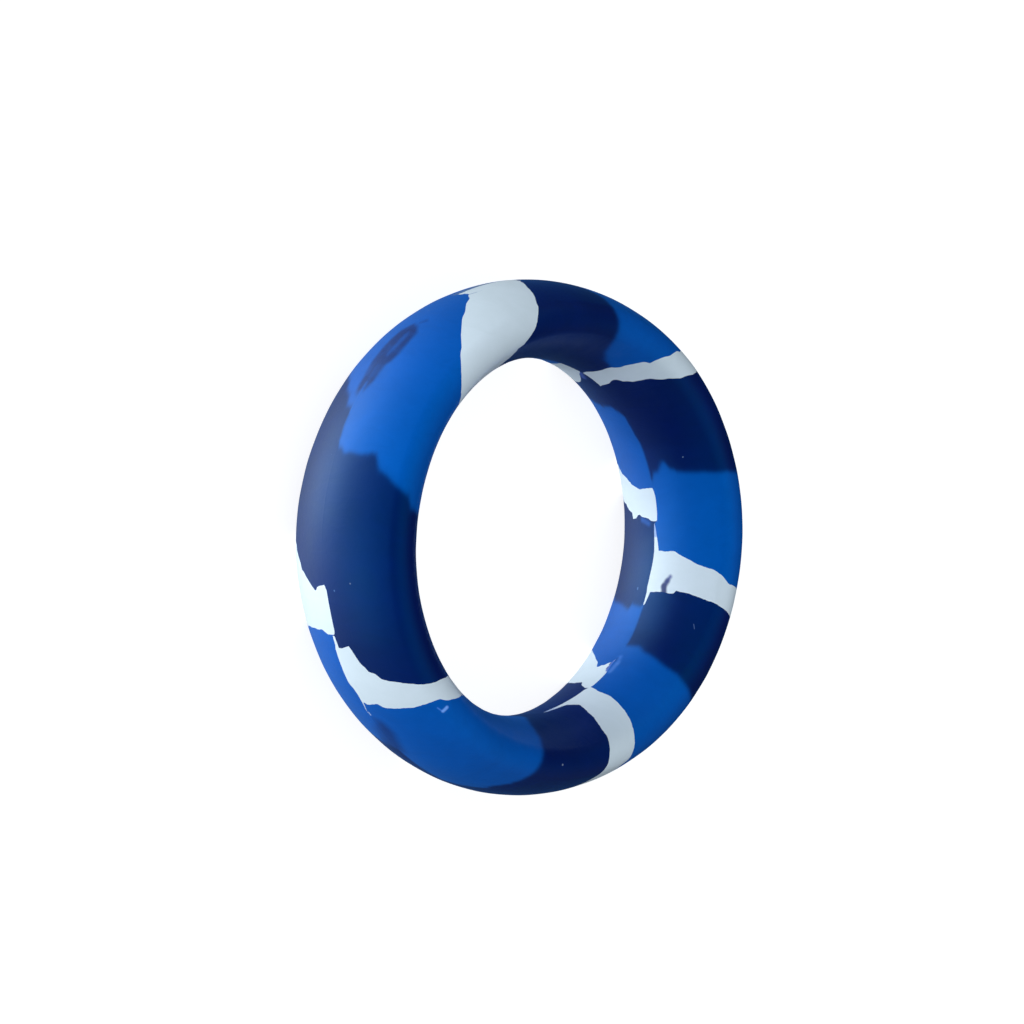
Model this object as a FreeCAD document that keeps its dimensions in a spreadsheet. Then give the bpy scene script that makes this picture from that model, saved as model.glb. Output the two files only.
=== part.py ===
import FreeCAD, Part
import Sketcher
import math
import os

# Chunky moulded silicone ring, millimetres.
#
# Frame: the ring lies flat, its axis is +Z, the origin is on the axis in the plane that the ring
# rests on.  The ring's mid-plane, where the two halves of the mould met, is at z = half_width.
#
# The ring is pressed from soft coloured slugs: fifteen slugs fill the upper half of the mould and
# fifteen the lower half, each half in the repeating order blue, navy, white going anticlockwise seen
# from above.  The slugs flow until they meet their neighbours and cure into one ring, so every piece
# is a sector of a half ring, bounded by the mid-plane and by two wandering seams.  Pieces share their
# seam faces exactly, with no gap and no overlap.

doc = FreeCAD.newDocument("moulded_ring")

# ---------------------------------------------------------------- driving dimensions
sheet = doc.addObject("Spreadsheet::Sheet", "Dims")
CELLS = [
    ("outer_radius", 50.0, "outside of the ring, at the mid-plane"),
    ("inner_radius", 34.85, "hole in the ring, at the mid-plane"),
    ("crest_circle_radius", 42.5, "radius of the circle that the ring rests on"),
    ("half_width", 15.45, "mid-plane to crest, along the axis"),
    ("crest_arc_radius", 3.9, "rounding of the crest"),
    ("seam_reach", 62.0, "seam cutters run outwards to this radius"),
    ("seam_core", 27.0, "seam cutters run inwards to this radius"),
    ("seam_overrun", 4.0, "seam cutters stand above the crest by this much"),
]
for row, (alias, value, note) in enumerate(CELLS, start=1):
    sheet.set("A%d" % row, alias)
    sheet.set("B%d" % row, "%g" % value)
    sheet.set("C%d" % row, note)
    sheet.setAlias("B%d" % row, alias)
doc.recompute()


def dim(alias):
    return float(sheet.get(alias))


# ---------------------------------------------------------------- section of the ring
# Half of the section, above the mid-plane: an outer flank arc that starts upright at the outer
# radius, a small crest arc, and an inner flank arc that ends upright at the inner radius.  The three
# arcs are tangent, so the flank radii follow from the other sizes.
R_OUT, R_IN = dim("outer_radius"), dim("inner_radius")
R_CREST, HALF_W, CREST_R = dim("crest_circle_radius"), dim("half_width"), dim("crest_arc_radius")
CREST_Z = HALF_W - CREST_R


def flank_radius(depth):
    """Radius of an arc that starts upright at `depth` from the crest circle and touches the crest arc."""
    return (depth ** 2 + CREST_Z ** 2 - CREST_R ** 2) / (2.0 * (depth - CREST_R))


FLANK_OUT = flank_radius(R_OUT - R_CREST)
FLANK_IN = flank_radius(R_CREST - R_IN)
X_OUT = R_OUT - FLANK_OUT
X_IN = R_IN + FLANK_IN
A_OUT = math.atan2(CREST_Z, R_CREST - X_OUT)
A_IN = math.atan2(CREST_Z, R_CREST - X_IN)


def section_radius(fraction):
    """Distance from the axis at a fraction of the way along the half section, 0 outside to 1 inside."""
    l_out, l_crest, l_in = FLANK_OUT * A_OUT, CREST_R * (A_IN - A_OUT), FLANK_IN * (math.pi - A_IN)
    s = fraction * (l_out + l_crest + l_in)
    if s <= l_out:
        return X_OUT + FLANK_OUT * math.cos(s / FLANK_OUT)
    if s <= l_out + l_crest:
        return R_CREST + CREST_R * math.cos(A_OUT + (s - l_out) / CREST_R)
    return X_IN + FLANK_IN * math.cos(A_IN + (s - l_out - l_crest) / FLANK_IN)


def origin_plane(body, role):
    for feature in body.Origin.OriginFeatures:
        if feature.Role == role:
            return feature
    raise RuntimeError("no " + role)


half = doc.addObject("PartDesign::Body", "upper_half_blank")
half.Label = "upper_half_blank"
section = half.newObject("Sketcher::SketchObject", "half_section")
section.AttachmentSupport = [(origin_plane(half, "XZ_Plane"), "")]
section.MapMode = "FlatFace"

V = FreeCAD.Vector
UP = V(0, 0, 1)
flank_o = Part.ArcOfCircle(Part.Circle(V(X_OUT, 0, 0), UP, FLANK_OUT), 0.0, A_OUT)
crest = Part.ArcOfCircle(Part.Circle(V(R_CREST, CREST_Z, 0), UP, CREST_R), A_OUT, A_IN)
flank_i = Part.ArcOfCircle(Part.Circle(V(X_IN, 0, 0), UP, FLANK_IN), A_IN, math.pi)
base = Part.LineSegment(V(R_IN, 0, 0), V(R_OUT, 0, 0))
for geometry in (flank_o, crest, flank_i, base):
    section.addGeometry(geometry, False)

C = Sketcher.Constraint
section.addConstraint(C("Tangent", 0, 2, 1, 1))
section.addConstraint(C("Tangent", 1, 2, 2, 1))
section.addConstraint(C("Coincident", 2, 2, 3, 1))
section.addConstraint(C("Coincident", 3, 2, 0, 1))
section.addConstraint(C("PointOnObject", 0, 3, -1))
section.addConstraint(C("PointOnObject", 2, 3, -1))
section.addConstraint(C("PointOnObject", 0, 1, -1))
section.addConstraint(C("PointOnObject", 2, 2, -1))
SIZES = [
    ("outer", C("DistanceX", -1, 1, 0, 1, R_OUT), "Dims.outer_radius"),
    ("inner", C("DistanceX", -1, 1, 2, 2, R_IN), "Dims.inner_radius"),
    ("crest_circle", C("DistanceX", -1, 1, 1, 3, R_CREST), "Dims.crest_circle_radius"),
    ("crest_centre", C("DistanceY", -1, 1, 1, 3, CREST_Z), "Dims.half_width - Dims.crest_arc_radius"),
    ("crest_arc", C("Radius", 1, CREST_R), "Dims.crest_arc_radius"),
]
for name, constraint, expression in SIZES:
    index = section.addConstraint(constraint)
    section.renameConstraint(index, name)
    section.setExpression("Constraints." + name, expression)
doc.recompute()

turn = half.newObject("PartDesign::Revolution", "half_turn")
turn.Profile = section
turn.ReferenceAxis = (section, ["V_Axis"])
turn.Angle = 360.0
half.Tip = turn
doc.recompute()

# The lower half of the mould is the mirror image of the upper half.
mirror = doc.addObject("Part::Mirroring", "lower_half_blank")
mirror.Label = "lower_half_blank"
mirror.Source = half
mirror.Normal = UP
mirror.Base = V(0, 0, 0)
doc.recompute()

# ---------------------------------------------------------------- seams between the slugs
# One entry for each seam, going anticlockwise seen from above: the colour before it, the colour after
# it, and the seam's course as (fraction along the half section from outside to inside, angle about
# the axis in degrees from +X).  Each seam runs straight through the ring along Z.
UPPER_SEAMS = [
    ("white", "blue", [
        (0, 74.5), (0.138, 75.4), (0.2, 75.8), (0.275, 76.2), (0.412, 77), (0.575, 79.9),
        (0.7, 81.9), (0.825, 84.4), (1, 85.6)]),
    ("blue", "navy", [
        (0, 103), (0.412, 108), (0.812, 112), (0.85, 113.2), (0.875, 115.7), (1, 109.3)]),
    ("navy", "white", [
        (0, 130), (0.15, 132.6), (0.325, 135.9), (0.425, 138), (0.55, 141.8), (0.688, 147.4),
        (0.775, 148.9), (0.863, 152.1), (1, 149.7)]),
    ("white", "blue", [
        (0, 137), (0.163, 139.8), (0.3, 142.8), (0.438, 146.2), (0.45, 147.4), (0.613, 152.4),
        (0.637, 154.5), (0.75, 156.6), (0.812, 158.8), (0.9, 158.8), (1, 159)]),
    ("blue", "navy", [
        (0, 174), (0.113, 173.2), (0.237, 172.2), (0.25, 173), (0.263, 171.4), (0.4, 171.3),
        (0.562, 169), (0.7, 166.5), (0.762, 162.7), (0.787, 158.7), (0.812, 158.8)]),
    ("navy", "white", [
        (0, 187), (0.163, 190), (0.3, 192.7), (0.412, 195.6), (0.575, 202.8), (0.588, 205.3),
        (0.613, 205.3), (0.675, 207.9), (0.812, 209.6), (1, 210.5)]),
    ("white", "blue", [
        (0, 203.4), (0.125, 204.7), (0.237, 212.2), (0.412, 222.5), (0.463, 225.3),
        (0.575, 230.5), (0.688, 234.8), (0.875, 239.9), (1, 242)]),
    ("blue", "navy", [
        (0, 249.2), (0.175, 251.5), (0.263, 250.9), (0.3, 254), (0.338, 254.9), (0.425, 257.4),
        (0.475, 258.5), (0.5, 261.5), (0.588, 262.6), (0.7, 264.8), (0.863, 267), (1, 268)]),
    ("navy", "white", [
        (0, 293.2), (0.1, 292.6), (0.138, 297.1), (0.15, 297.2), (0.163, 298.6), (0.2, 299.1),
        (0.225, 300.6), (0.263, 301.3), (0.412, 303.8), (0.575, 307.2), (0.675, 310),
        (0.75, 311.5), (0.85, 313), (1, 314.5)]),
    ("white", "blue", [
        (0, 306.8), (0.163, 308.1), (0.25, 308.8), (0.4, 309.2), (0.55, 313.6), (0.625, 315.8),
        (0.825, 320.6), (1, 322.5)]),
    ("blue", "navy", [
        (0, 336.5), (0.163, 342.2), (0.312, 344.5), (0.412, 345.8), (0.575, 348.9),
        (0.675, 350.9), (0.775, 352.7), (0.838, 354), (0.887, 355.8), (1, 359.5)]),
    ("navy", "white", [
        (0, 362.5), (0.15, 364.8), (0.237, 366.4), (0.312, 368.1), (0.412, 370.1),
        (0.575, 373.6), (0.675, 375.5), (0.812, 378), (1, 377.5)]),
    ("white", "blue", [
        (0, 370.5), (0.138, 372.9), (0.212, 374.2), (0.287, 375.8), (0.425, 379.1), (0.562, 383),
        (0.688, 386.5), (0.787, 388.4), (0.887, 389.1), (1, 390.4)]),
    ("blue", "navy", [
        (0, 397.5), (0.138, 399.6), (0.212, 400.7), (0.287, 401.8), (0.425, 404.2),
        (0.562, 405.9), (0.675, 407.3), (0.775, 408.9), (0.85, 409.8), (1, 410.9)]),
    ("navy", "white", [
        (0, 427), (0.138, 427.9), (0.212, 428.4), (0.287, 428.8), (0.412, 429.6), (0.575, 431.3),
        (0.675, 432.1), (0.838, 431.6), (1, 431.5)]),
]

LOWER_SEAMS = [
    ("white", "blue", [
        (0, 64), (0.163, 60.8), (0.25, 59), (0.338, 57.3), (0.425, 55.8), (0.588, 51.9),
        (0.75, 47.6), (0.887, 41), (1, 44.8)]),
    ("blue", "navy", [
        (0, 79), (0.163, 76.3), (0.237, 75), (0.325, 73.6), (0.425, 72.1), (0.588, 69.5),
        (0.662, 67.8), (0.75, 67), (0.875, 64.4), (0.887, 64.4), (0.9, 66.3), (1, 66.8)]),
    ("navy", "white", [
        (0, 110), (0.412, 104.3), (0.613, 99.6), (0.675, 99.3), (0.713, 97.7), (0.762, 97.1),
        (0.775, 95), (0.812, 95.4), (0.838, 96.8), (1, 95.2)]),
    ("white", "blue", [
        (0, 121), (0.338, 116.4), (0.463, 114.6), (0.6, 111.5), (0.625, 111.6), (0.637, 110.3),
        (0.662, 110.3), (0.675, 109.3), (0.8, 106.9), (0.887, 105.4), (1, 106.5)]),
    ("blue", "navy", [
        (0, 143), (0.163, 141.6), (0.325, 140.3), (0.425, 139.6), (0.575, 138.6), (0.662, 138),
        (0.713, 137.7), (0.725, 138.7), (0.75, 137.5), (0.825, 138.1), (0.838, 136.9),
        (0.875, 138.1), (1, 134.3)]),
    ("navy", "white", [
        (0, 161), (0.15, 159), (0.3, 157), (0.412, 155.3), (0.575, 153.4), (0.7, 152.5),
        (0.85, 152.2), (1, 155)]),
    ("white", "blue", [
        (0, 173), (0.15, 171.8), (0.3, 170.5), (0.412, 169.1), (0.575, 167.4), (0.7, 166.5),
        (0.85, 166), (1, 168.6)]),
    ("blue", "navy", [
        (0, 242.9), (0.163, 235.8), (0.362, 228.8), (0.425, 227.1), (0.562, 223.8),
        (0.662, 221.8), (0.825, 219.3), (1, 217)]),
    ("navy", "white", [
        (0, 279.5), (0.225, 277.2), (0.412, 270.6), (0.575, 266.5), (0.7, 264), (0.85, 262),
        (1, 260)]),
    ("white", "blue", [
        (0, 290.2), (0.163, 289.8), (0.35, 291.2), (0.438, 290.8), (0.588, 289), (0.675, 287.4),
        (0.838, 284.2), (1, 281)]),
    ("blue", "navy", [
        (0, 310.2), (0.125, 318.5), (0.15, 319.1), (0.163, 318.2), (0.2, 319), (0.275, 318.6),
        (0.412, 316.5), (0.575, 312.8), (0.688, 309.4), (0.838, 305.3), (1, 301)]),
    ("navy", "white", [
        (0, 346), (0.3, 340.5), (0.7, 333), (1, 328)]),
    ("white", "blue", [
        (0, 354.5), (0.3, 349.5), (0.7, 341), (1, 336.5)]),
    ("blue", "navy", [
        (0, 376), (0.3, 371), (0.7, 362), (1, 355.5)]),
    ("navy", "white", [
        (0, 414), (0.163, 409.1), (0.35, 404), (0.438, 402.2), (0.588, 398.7), (0.725, 394.6),
        (0.825, 392.9), (0.9, 392.8), (1, 389.8)]),
]


def seam_points(course):
    """Plan view points of a seam, from well outside the ring to well inside it."""
    pts = []
    first, last = course[0], course[-1]
    if first[0] <= 0.0:
        pts.append((dim("seam_reach"), first[1]))
    for fraction, angle in course:
        pts.append((section_radius(fraction), angle))
    if last[0] >= 1.0:
        pts.append((dim("seam_core"), last[1]))
    return pts


def polar(radius, angle):
    a = math.radians(angle)
    return V(radius * math.cos(a), radius * math.sin(a), 0.0)


def join_seam(course, through):
    """A seam that ends on its neighbour follows that neighbour from there to the hole."""
    if course[-1][0] >= 1.0:
        return course
    end = course[-1][0]
    return course + [p for p in through if p[0] > end]


def outline(before, after):
    """Closed plan view of the slug between two seams, before (clockwise side) and after."""
    a, b = list(before), list(after)
    # a slug that runs out to a point where its two seams meet ends at that point
    shared = 0
    while shared < min(len(a), len(b)) and a[-1 - shared] == b[-1 - shared]:
        shared += 1
    if shared:
        a, b = a[:len(a) - shared + 1], b[:len(b) - shared + 1]
    pa, pb = seam_points(a), seam_points(b)
    pts = [polar(*p) for p in pa]
    back = pb[:-1] if shared else pb
    pts += [polar(*p) for p in reversed(back)]
    # the closing side runs outside the ring, in steps short enough to stay clear of it
    lo, hi = pa[0][1], pb[0][1]
    steps = int(math.ceil((hi - lo) / 25.0))
    for k in range(1, steps):
        pts.append(polar(dim("seam_reach"), hi + (lo - hi) * k / steps))
    return pts


def add_slug(label, blank, direction, points):
    plan = doc.addObject("Sketcher::SketchObject", label + "_plan")
    count = len(points)
    plan.addGeometry([Part.LineSegment(points[k], points[(k + 1) % count]) for k in range(count)], False)
    plan.addConstraint([C("Coincident", k, 2, (k + 1) % count, 1) for k in range(count)])
    cutter = doc.addObject("Part::Extrusion", label + "_cutter")
    cutter.Base = plan
    cutter.DirMode = "Custom"
    cutter.Dir = V(0, 0, direction)
    cutter.Solid = True
    cutter.setExpression("LengthFwd", "Dims.half_width + Dims.seam_overrun")
    slug = doc.addObject("Part::Common", label)
    slug.Label = label
    slug.Base = blank
    slug.Tool = cutter
    slug.setExpression(".Placement.Base.z", "Dims.half_width")
    return slug


slugs = []
for half_name, blank, direction, seams in (("upper", half, 1, UPPER_SEAMS),
                                           ("lower", mirror, -1, LOWER_SEAMS)):
    courses = []
    for k, (_, _, course) in enumerate(seams):
        courses.append(list(course))
    for k in range(1, len(courses)):
        courses[k] = join_seam(courses[k], courses[k - 1])
    tally = {"blue": 0, "navy": 0, "white": 0}
    for k, (_, colour, _) in enumerate(seams):
        if k + 1 < len(seams):
            after = courses[k + 1]
        else:
            after = [(f, ang + 360.0) for f, ang in courses[0]]
        tally[colour] += 1
        label = "%s_%s_%d" % (half_name, colour, tally[colour])
        slugs.append(add_slug(label, blank, direction, outline(courses[k], after)))

doc.recompute()

# ---------------------------------------------------------------- check and export
for obj in doc.Objects:
    if "Invalid" in obj.State or "Error" in obj.State:
        raise RuntimeError("%s did not recompute: %s" % (obj.Label, obj.State))

ring_volume = 0.0
for slug in slugs:
    shape = slug.Shape
    if shape.isNull() or not shape.isValid() or len(shape.Solids) != 1:
        raise RuntimeError("%s is not one valid solid (%d)" % (slug.Label, len(shape.Solids)))
    ring_volume += shape.Volume
whole = half.Shape.Volume * 2.0
if abs(ring_volume - whole) > 0.001 * whole:
    raise RuntimeError("slugs do not fill the ring: %.1f of %.1f mm3" % (ring_volume, whole))

os.makedirs("parts", exist_ok=True)
for slug in slugs:
    slug.Shape.exportStep(os.path.join("parts", slug.Label + ".step"))
print("%d slugs, %.1f mm3 of silicone, ring %.1f mm3" % (len(slugs), ring_volume, whole))
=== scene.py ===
"""Marbled silicone juggling ring: two moulded halves, each of fifteen coloured slugs, met at a mid-plane parting line.

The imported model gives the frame. Every slug is rebuilt here as a closed mesh with its real, ragged colour seams, its
slightly wandering parting line and its small films of stray colour, and gets its own silicone material.
"""
import math

import bpy
import numpy as np
from mathutils import Matrix, Vector


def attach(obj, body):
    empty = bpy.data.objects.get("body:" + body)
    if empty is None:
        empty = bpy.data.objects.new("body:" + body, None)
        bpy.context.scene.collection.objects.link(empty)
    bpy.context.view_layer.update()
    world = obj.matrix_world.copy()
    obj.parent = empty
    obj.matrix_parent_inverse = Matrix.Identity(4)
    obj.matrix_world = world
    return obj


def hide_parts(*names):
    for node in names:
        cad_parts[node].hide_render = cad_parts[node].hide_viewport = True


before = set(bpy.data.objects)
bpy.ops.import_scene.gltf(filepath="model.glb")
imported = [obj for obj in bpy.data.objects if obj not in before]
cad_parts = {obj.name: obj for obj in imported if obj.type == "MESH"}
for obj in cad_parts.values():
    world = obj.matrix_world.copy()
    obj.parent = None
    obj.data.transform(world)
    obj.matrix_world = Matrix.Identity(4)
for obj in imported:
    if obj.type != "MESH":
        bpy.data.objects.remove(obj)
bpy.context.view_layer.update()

# ------------------------------------------------------------------------------------------------ section of the ring, mm
OUTER, INNER, CREST, HALF, CREST_R = 50.0, 34.85, 42.5, 15.45, 3.9
CZ = HALF - CREST_R
FLANK_OUT = ((OUTER - CREST) ** 2 + CZ ** 2 - CREST_R ** 2) / (2 * ((OUTER - CREST) - CREST_R))
FLANK_IN = ((CREST - INNER) ** 2 + CZ ** 2 - CREST_R ** 2) / (2 * ((CREST - INNER) - CREST_R))
XO, XI = OUTER - FLANK_OUT, INNER + FLANK_IN
AO, AI = math.atan2(CZ, CREST - XO), math.atan2(CZ, CREST - XI)
L1, L2, L3 = FLANK_OUT * AO, CREST_R * (AI - AO), FLANK_IN * (math.pi - AI)
ARC = L1 + L2 + L3          # one half of the section, outer equator to inner equator

# Colour seams. Each runs from the outer equator (t = 0) over the crest to the inner equator (t = 1); an angle in degrees
# about +Z from +X goes with each t. The two numbers after the name are the stretch whose line is known; the rest wanders.
UPPER_SEAMS = [
    ("white_blue_e", 0.438, 1,
     "0,74.5 0.025,74.7 0.0625,74.9 0.1,75.1 0.1375,75.4 0.2,75.8 0.275,76.2 0.35,76.6 0.4125,77 "
     "0.45,77.3 0.525,77.8 0.575,79.9 0.6125,80.8 0.7,81.9 0.75,82.8 0.7875,83.6 0.825,84.4 "
     "0.8625,85.7 0.925,85.1 0.975,85.2 0.9875,85.2 1,85.6"),
    ("blue_navy_a", 0.438, 1,
     "0,103 0.3,106.4 0.4125,108 0.45,108.1 0.5125,109 0.525,109.6 0.55,109.7 0.65,110.7 0.8125,112 "
     "0.825,112.8 0.85,113.2 0.875,115.7 0.8875,115.7 0.9,115.1 0.9375,112.3 0.95,112.2 0.975,111.4 "
     "0.9875,109.7 1,109.3"),
    ("navy_white_a", 0.425, 1,
     "0,130 0.15,132.6 0.25,134.5 0.325,135.9 0.425,138 0.4625,139.1 0.4875,139.7 0.5125,140.8 "
     "0.55,141.8 0.6,144.2 0.6375,145.2 0.6875,147.4 0.775,148.9 0.8,150 0.825,150.3 0.8375,151.7 "
     "0.8625,152.1 0.875,152.1 0.9125,150.9 0.975,150.4 1,149.7"),
    ("white_blue_a", 0.413, 1,
     "0,137 0.0875,138.5 0.1625,139.8 0.3,142.8 0.4,145 0.4125,145.6 0.4375,146.2 0.45,147.4 "
     "0.4875,148.7 0.5125,149.3 0.5375,150.7 0.575,152 0.6125,152.4 0.625,154 0.6375,154.5 "
     "0.6875,155.6 0.7125,156.4 0.75,156.6 0.775,157.6 0.7875,158.4 0.8125,158.8 0.9,158.8 0.95,159.5 "
     "1,159"),
    ("blue_navy_b", 0.25, 0.8,
     "0,174 0.05,173.6 0.1125,173.2 0.2375,172.2 0.25,173 0.2625,171.4 0.3,171.5 0.3125,171.2 "
     "0.4,171.3 0.45,170.6 0.4875,169.8 0.5625,169 0.7,166.5 0.7625,162.7 0.7875,158.7 0.8125,158.8"),
    ("navy_white_b", 0.088, 0.675,
     "0,187 0.075,188.5 0.0875,188.4 0.1125,189.1 0.1625,190 0.2,190.8 0.3,192.7 0.4125,195.6 "
     "0.4875,198.5 0.5125,199.4 0.55,201.5 0.5625,202.6 0.575,202.8 0.5875,205.3 0.6125,205.3 "
     "0.625,206.1 0.6375,206.1 0.6625,206.9 0.675,207.9 0.7,208.1 0.8125,209.6 0.9125,210.2 1,210.5"),
    ("white_blue_b", 0, 0.575,
     "0,203.4 0.025,203.4 0.0375,202.9 0.075,202.8 0.0875,203.7 0.125,204.7 0.15,206.7 0.2125,210.2 "
     "0.2375,212.2 0.3,215.6 0.375,219.8 0.4,221.8 0.4125,222.5 0.45,224.7 0.4625,225.3 0.525,228.6 "
     "0.55,229.3 0.575,230.5 0.6875,234.8 0.8,238.2 0.875,239.9 0.9375,241 1,242"),
    ("blue_navy_c", 0, 0.575,
     "0,249.2 0.0125,250.2 0.0375,250.6 0.0625,251.5 0.075,251.5 0.1,251.2 0.175,251.5 0.2125,251.2 "
     "0.2375,250.7 0.2625,250.9 0.2875,253.2 0.3,254 0.3375,254.9 0.425,257.4 0.45,258.1 0.475,258.5 "
     "0.4875,260.4 0.5,261.5 0.55,262.1 0.5875,262.6 0.7,264.8 0.7625,265.9 0.8625,267 0.9375,267.5 "
     "1,268"),
    ("navy_white_c", 0, 0.588,
     "0,293.2 0.0375,293.1 0.1,292.6 0.1375,297.1 0.15,297.2 0.1625,298.6 0.2,299.1 0.225,300.6 "
     "0.2625,301.3 0.35,302.8 0.4125,303.8 0.45,304.6 0.525,306 0.575,307.2 0.5875,307.4 0.675,310 "
     "0.75,311.5 0.85,313 0.8875,313.4 0.925,313.8 0.9625,314.1 1,314.5"),
    ("white_blue_c", 0, 0.625,
     "0,306.8 0.025,306.7 0.0375,307.2 0.05,307.2 0.125,307 0.1375,307.7 0.1625,308.1 0.2,308.4 "
     "0.25,308.8 0.3125,309.1 0.4,309.2 0.4375,309.4 0.4625,309.6 0.475,310.7 0.55,313.6 0.5875,314.9 "
     "0.625,315.8 0.6375,316.6 0.725,318.9 0.7875,320.1 0.825,320.6 0.875,321.2 0.9125,321.6 "
     "0.9625,322.1 1,322.5"),
    ("blue_navy_d", 0.062, 0.975,
     "0,336.5 0.0375,337.8 0.075,339.1 0.125,340.9 0.1625,342.2 0.1875,342.8 0.2,342.3 0.2375,342.5 "
     "0.2625,343.3 0.2875,343.6 0.3125,344.5 0.3375,344.5 0.35,345.1 0.4125,345.8 0.45,346.5 "
     "0.575,348.9 0.6,349 0.675,350.9 0.725,351.8 0.775,352.7 0.8375,354 0.85,355 0.8875,355.8 "
     "0.925,357.3 0.95,358.6 0.9625,358.6 0.975,357.7 0.9875,359.2 1,359.5"),
    ("navy_white_d", 0.325, 1,
     "0,362.5 0.0375,363.1 0.075,363.6 0.1125,364.2 0.15,364.8 0.2375,366.4 0.3125,368.1 0.375,369.4 "
     "0.4125,370.1 0.45,370.9 0.5375,372.7 0.575,373.6 0.6,374.2 0.675,375.5 0.75,376.9 0.8125,378 "
     "0.8625,379 0.9125,379.8 0.9625,378.2 1,377.5"),
    ("white_blue_d", 0.4, 1,
     "0,370.5 0.0375,371.2 0.075,371.8 0.1,372.2 0.1375,372.9 0.175,373.6 0.2125,374.2 0.2875,375.8 "
     "0.35,377 0.3875,377.8 0.4,377.3 0.425,379.1 0.5625,383 0.6125,384.6 0.6875,386.5 0.7375,387.6 "
     "0.7875,388.4 0.8375,388.9 0.8875,389.1 0.9125,389.2 0.9375,389.7 0.975,390.1 1,390.4"),
    ("blue_navy_e", 0.425, 1,
     "0,397.5 0.0375,398.1 0.0625,398.4 0.1,399 0.1375,399.6 0.175,400.1 0.2125,400.7 0.2875,401.8 "
     "0.3625,402.9 0.425,404.2 0.5625,405.9 0.6125,406.9 0.675,407.3 0.7,407.7 0.775,408.9 0.85,409.8 "
     "0.9,411.3 0.9375,410.9 0.975,410.6 1,410.9"),
    ("navy_white_e", 0.438, 1,
     "0,427 0.025,427.2 0.0625,427.4 0.1,427.6 0.1375,427.9 0.175,428.1 0.2125,428.4 0.2875,428.8 "
     "0.35,429.2 0.4125,429.6 0.4375,429.7 0.5375,430.8 0.575,431.3 0.6,431.6 0.675,432.1 0.7625,432.6 "
     "0.8125,432.8 0.825,431.6 0.8375,431.6 0.9375,431.4 0.975,431 0.9875,431.1 1,431.5"),
]

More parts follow.
